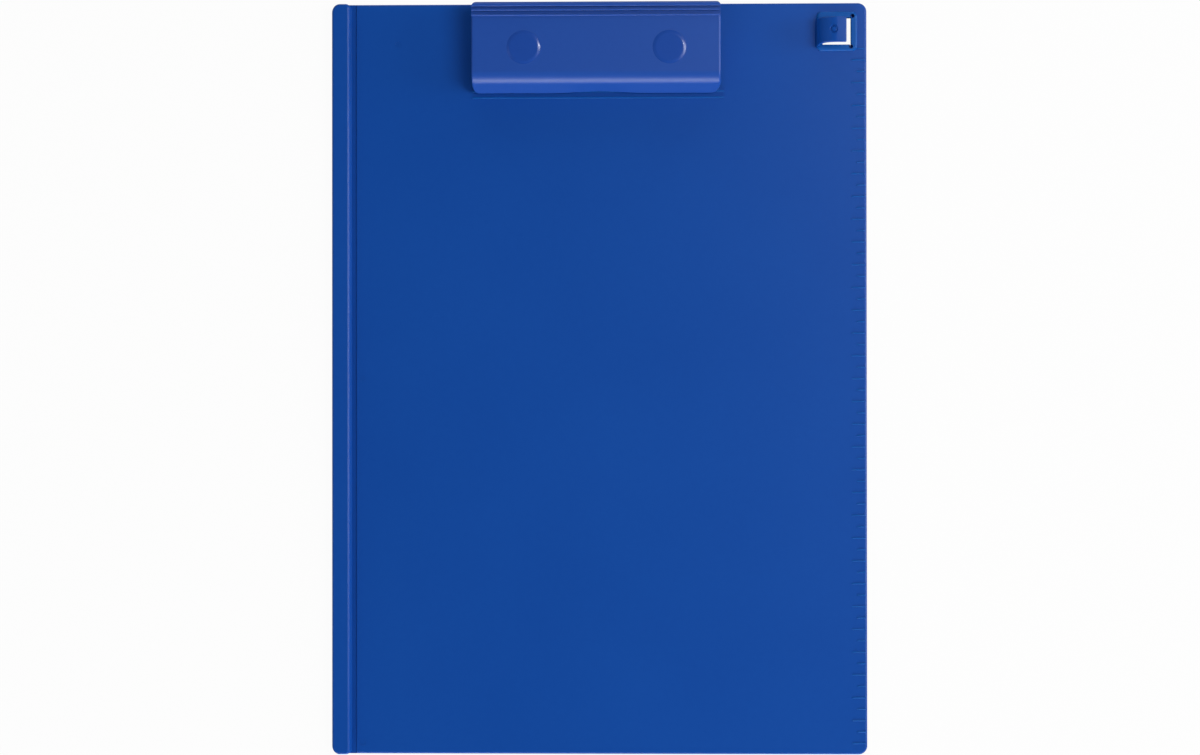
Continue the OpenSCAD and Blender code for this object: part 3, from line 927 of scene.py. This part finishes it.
@dataclass
class ClipWorks:
    """What holds the lever: base, hinge pin, springs, rivets and washers. Sizes in mm."""

    pin: tuple[float, float] = (138.0, 7.8)
    pin_ends: tuple[float, float] = (-55.45, 52.85)
    pin_radius: float = 1.5
    pin_tip: tuple[float, float] = (1.15, 0.4)  # radius and length of the chamfer
    springs: tuple[float, ...] = (-33.35, 30.75)
    spring_y: float = 144.4
    spring_low: float = 4.6
    spring_high: float = 14.85
    coil_radius: float = 3.75
    wire: float = 0.9
    turns: int = 6
    pressed: float = 0.72
    rivets: tuple[float, ...] = (-44.0, 41.4)
    rivet_y: float = 147.43

    def base(self, material: bpy.types.Material) -> bpy.types.Object:
        """Gives the CAD base softened edges, on a copy.

        Args:
            material: the clip's plastic.

        Returns:
            The piece, which stands for the CAD base.
        """
        blank = Blank()
        blank.bm.from_mesh(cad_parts["clip_base"].data)
        bmesh.ops.scale(blank.bm, vec=(1 / MM, 1 / MM, 1 / MM), verts=blank.bm.verts)
        blank.tidy()
        bmesh.ops.dissolve_limit(blank.bm, angle_limit=math.radians(2), verts=blank.bm.verts,
                                 edges=blank.bm.edges)
        blank.round(lambda p: p.z > 3.1, 0.2, 2, 50)
        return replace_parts(blank.piece("clip_base_moulding", Body.BOARD, Slot.CLIP, material), "clip_base")

    def hinge(self, material: bpy.types.Material) -> bpy.types.Object:
        """Models the hinge pin with chamfered ends.

        Args:
            material: drawn steel.

        Returns:
            The piece, which stands for the CAD pin.
        """
        (low, high), (tip, slant), r = self.pin_ends, self.pin_tip, self.pin_radius
        profile = [(0, low, 0), (tip, low, 0), (r, low + slant, 0.2), (r, high - slant, 0.2), (tip, high, 0),
                   (0, high, 0)]
        blank = Blank().turned(profile, (0, *self.pin), axis=0, steps=40)
        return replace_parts(blank.piece("hinge_pin_turned", Body.LEVER, Slot.PIN, material), "hinge_pin")

    def coil(self, side: str, x: float, material: bpy.types.Material) -> bpy.types.Object:
        """Winds one spring, with flat ends, by spinning the wire's section.

        Args:
            side: left or right.
            x: the spring's middle.
            material: spring wire.

        Returns:
            The piece, which stands for that CAD spring.
        """
        blank = Blank()
        centre = Vector((x, self.spring_y, 0))
        start = centre + Vector((self.coil_radius, 0, self.spring_low + self.wire / 2))
        turn = Matrix.Translation(start) @ Matrix.Rotation(math.pi / 2, 4, "X")
        ring = bmesh.ops.create_circle(blank.bm, cap_ends=True, segments=10, radius=self.wire / 2 - 0.01,
                                       matrix=turn)
        last = list({e for v in ring["verts"] for e in v.link_edges})
        rise = self.spring_high - self.spring_low - self.wire
        flat = self.wire + 0.12
        for share, climb in ((0.75, flat), (self.turns - 1.5, rise - 2 * flat), (0.75, flat)):
            steps = round(share * 28)
            done = bmesh.ops.spin(blank.bm, geom=last, cent=centre, axis=(0, 0, 1), angle=math.tau * share,
                                  dvec=(0, 0, climb / steps), steps=steps)
            last = [g for g in done["geom_last"] if isinstance(g, bmesh.types.BMEdge)]
        bmesh.ops.contextual_create(blank.bm, geom=last)
        made = blank.piece(f"spring_{side}_coil", Body.BOARD, Slot.SPRING, material)
        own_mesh(made)
        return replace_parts(made, f"spring_{side}")

    def rivet(self, side: str, x: float, material: bpy.types.Material) -> bpy.types.Object:
        """Turns one rivet: domed head, shank and spread end.

        Args:
            side: left or right.
            x: the rivet's middle.
            material: plated steel.

        Returns:
            The piece, which stands for that CAD rivet.
        """
        profile = [(0, 0.42, 0), (1.1, 0.42, 0.1), (1.5, 0.3, 0.1), (2.6, 0.36, 0.15), (2.98, 0.88, 0.1),
                   (2.0, 0.88, 0), (2.0, 4.6, 0), (3.68, 4.6, 0.08), (3.68, 4.8, 0.1), (2.7, 5.45, 0.4),
                   (0, 5.6, 0)]
        blank = Blank().turned(profile, (x, self.rivet_y, 0), steps=40)
        made = blank.piece(f"rivet_{side}_turned", Body.BOARD, Slot.RIVET, material)
        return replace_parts(made, f"rivet_{side}")

    def washer(self, side: str, x: float, material: bpy.types.Material) -> bpy.types.Object:
        """Stamps one washer with rounded edges.

        Args:
            side: left or right.
            x: the washer's middle.
            material: plated steel.

        Returns:
            The piece, which stands for that CAD washer.
        """
        profile = [(2.02, 0.9, 0.05), (4.5, 0.9, 0.18), (4.5, 1.5, 0.05), (2.02, 1.5, 0.05)]
        blank = Blank().turned(profile, (x, self.rivet_y, 0), steps=48)
        made = blank.piece(f"washer_{side}_stamped", Body.BOARD, Slot.RIVET, material)
        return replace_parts(made, f"washer_{side}")

    def build(self, finishes: Finishes) -> None:
        """Builds every working part of the clip in the given finishes."""
        self.base(finishes.clip)
        self.hinge(finishes.pin)
        for side, x in zip(("left", "right"), self.springs):
            self.coil(side, x, finishes.spring)
        for side, x in zip(("left", "right"), self.rivets):
            self.rivet(side, x, finishes.rivet)
            self.washer(side, x, finishes.rivet)


# ---------------------------------------------------------------------------------------------
# Camera, light and ground
# ---------------------------------------------------------------------------------------------


@dataclass(frozen=True)
class Lamp:
    """A soft lamp aimed at the middle of the board."""

    name: str
    azimuth: float
    elevation: float
    distance: float
    width: float
    height: float
    power: float

    def hang(self) -> bpy.types.Object:
        """Hangs the lamp and returns it."""
        light = bpy.data.lights.new(self.name, "AREA")
        light.shape, light.size, light.size_y = "RECTANGLE", self.width, self.height
        light.energy = self.power
        lamp = bpy.data.objects.new(self.name, light)
        a, e = math.radians(self.azimuth), math.radians(self.elevation)
        aside = Vector((math.cos(a) * math.cos(e), math.sin(a) * math.cos(e), math.sin(e)))
        lamp.location = aside * self.distance
        lamp.rotation_euler = (-lamp.location).to_track_quat("-Z", "Y").to_euler()
        bpy.context.scene.collection.objects.link(lamp)
        return lamp


@dataclass
class Studio:
    """The photograph's camera, lamps and white ground. Lengths in metres."""

    eye: tuple[float, float, float] = (0.02508, -0.00503, 1.13277)
    aim: tuple[float, float, float] = (0.00031, 0.00053, 0.003)
    roll: float = 0.00075
    lens: float = 77.07
    lamps: tuple[Lamp, ...] = (
        # name, azimuth, elevation, distance, width, height, power
        Lamp("key_right", 4, 54, 1.5, 0.70, 0.70, 10.2),
        Lamp("low_right", 6, 14, 1.7, 0.9, 0.7, 13.0),
        Lamp("spark", 42.3, 65.8, 1.4, 0.11, 0.11, 1.3),
        Lamp("fill_left", 186, 52, 1.7, 0.7, 0.7, 1.6),
        Lamp("low_front", -92, 12, 1.4, 1.8, 0.6, 24.0),
        Lamp("low_rear", 90, 14, 1.4, 1.8, 0.6, 7.5),
    )
    zenith: float = 0.09
    horizon: float = 0.28
    floor_half: float = 1.5
    floor_tone: float = 0.30
    floor_glow: float = 1.06
    glow_share: float = 0.9

    def camera(self) -> None:
        """Sets up the camera straight above the board."""
        data = bpy.data.cameras.new("overhead")
        data.lens, data.sensor_width, data.clip_start = self.lens, 36.0, 0.01
        made = bpy.data.objects.new("overhead", data)
        made.location = self.eye
        view = Vector(self.aim) - Vector(self.eye)
        back = -view.normalized()
        upright = Vector((math.sin(self.roll), math.cos(self.roll), 0))
        up = (upright - back * back.dot(upright)).normalized()
        made.matrix_world = Matrix.Translation(self.eye) @ Matrix(
            (up.cross(back), up, back)).transposed().to_4x4()
        bpy.context.scene.collection.objects.link(made)
        bpy.context.scene.camera = made

    def ground(self) -> None:
        """Lays the pale floor, which the camera sees as white with the object's soft shadow."""
        half = self.floor_half / MM
        blank = Blank().box((-half, -half, -4), (half, half, -0.02))
        bmesh.ops.scale(blank.bm, vec=(MM, MM, MM), verts=blank.tidy().bm.verts)
        mesh = bpy.data.meshes.new("floor")
        blank.bm.to_mesh(mesh)
        blank.bm.free()
        g = Graph("white_floor")
        g.shader.inputs["Base Color"].default_value = (*[self.floor_tone] * 3, 1)
        g.shader.inputs["Roughness"].default_value = 0.9
        g.shader.inputs["Specular IOR Level"].default_value = 0.0
        glow = g.add("ShaderNodeEmission")
        glow.inputs["Strength"].default_value = self.floor_glow
        seen = g.add("ShaderNodeLightPath")
        both = g.add("ShaderNodeMixShader")
        share = g.add("ShaderNodeMath", operation="MULTIPLY")
        share.inputs[1].default_value = self.glow_share
        g.join(seen.outputs["Is Camera Ray"], share.inputs[0])
        g.join(share.outputs[0], both.inputs[0])
        g.join(g.shader.outputs[0], both.inputs[1])
        g.join(glow.outputs[0], both.inputs[2])
        g.join(both.outputs[0], g.tree.nodes["Material Output"].inputs["Surface"])
        mesh.materials.append(g.material)
        floor = bpy.data.objects.new("floor", mesh)
        bpy.context.scene.collection.objects.link(floor)

    def air(self) -> None:
        """Fills the room with soft light, brighter near the horizon, that the camera sees as white."""
        world = bpy.data.worlds.new("room")
        world.use_nodes = True
        tree = world.node_tree
        glow = tree.nodes["Background"]
        glow.inputs["Color"].default_value = (1, 1, 1, 1)
        seen = tree.nodes.new("ShaderNodeLightPath")
        sky = tree.nodes.new("ShaderNodeTexCoord")
        parts = tree.nodes.new("ShaderNodeSeparateXYZ")
        level = tree.nodes.new("ShaderNodeMapRange")
        level.inputs["To Min"].default_value = self.horizon
        level.inputs["To Max"].default_value = self.zenith
        most = tree.nodes.new("ShaderNodeMath")
        most.operation = "MAXIMUM"
        tree.links.new(sky.outputs["Generated"], parts.inputs["Vector"])
        tree.links.new(parts.outputs["Z"], level.inputs["Value"])
        tree.links.new(level.outputs["Result"], most.inputs[0])
        tree.links.new(seen.outputs["Is Camera Ray"], most.inputs[1])
        tree.links.new(most.outputs["Value"], glow.inputs["Strength"])
        bpy.context.scene.world = world

    def build(self) -> None:
        """Sets camera, lamps, floor and world."""
        self.camera()
        for lamp in self.lamps:
            lamp.hang()
        self.ground()
        self.air()
        bpy.context.scene.view_settings.view_transform = "Standard"


def main() -> None:
    """Builds the studio and the dressed clipboard."""
    logging.basicConfig(level=logging.INFO, format="%(name)s: %(message)s")
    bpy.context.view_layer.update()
    Studio().build()
    finishes = Finishes()
    Board().build(finishes)
    Lever().build(finishes)
    ClipWorks().build(finishes)


if __name__ == "__main__":
    main()
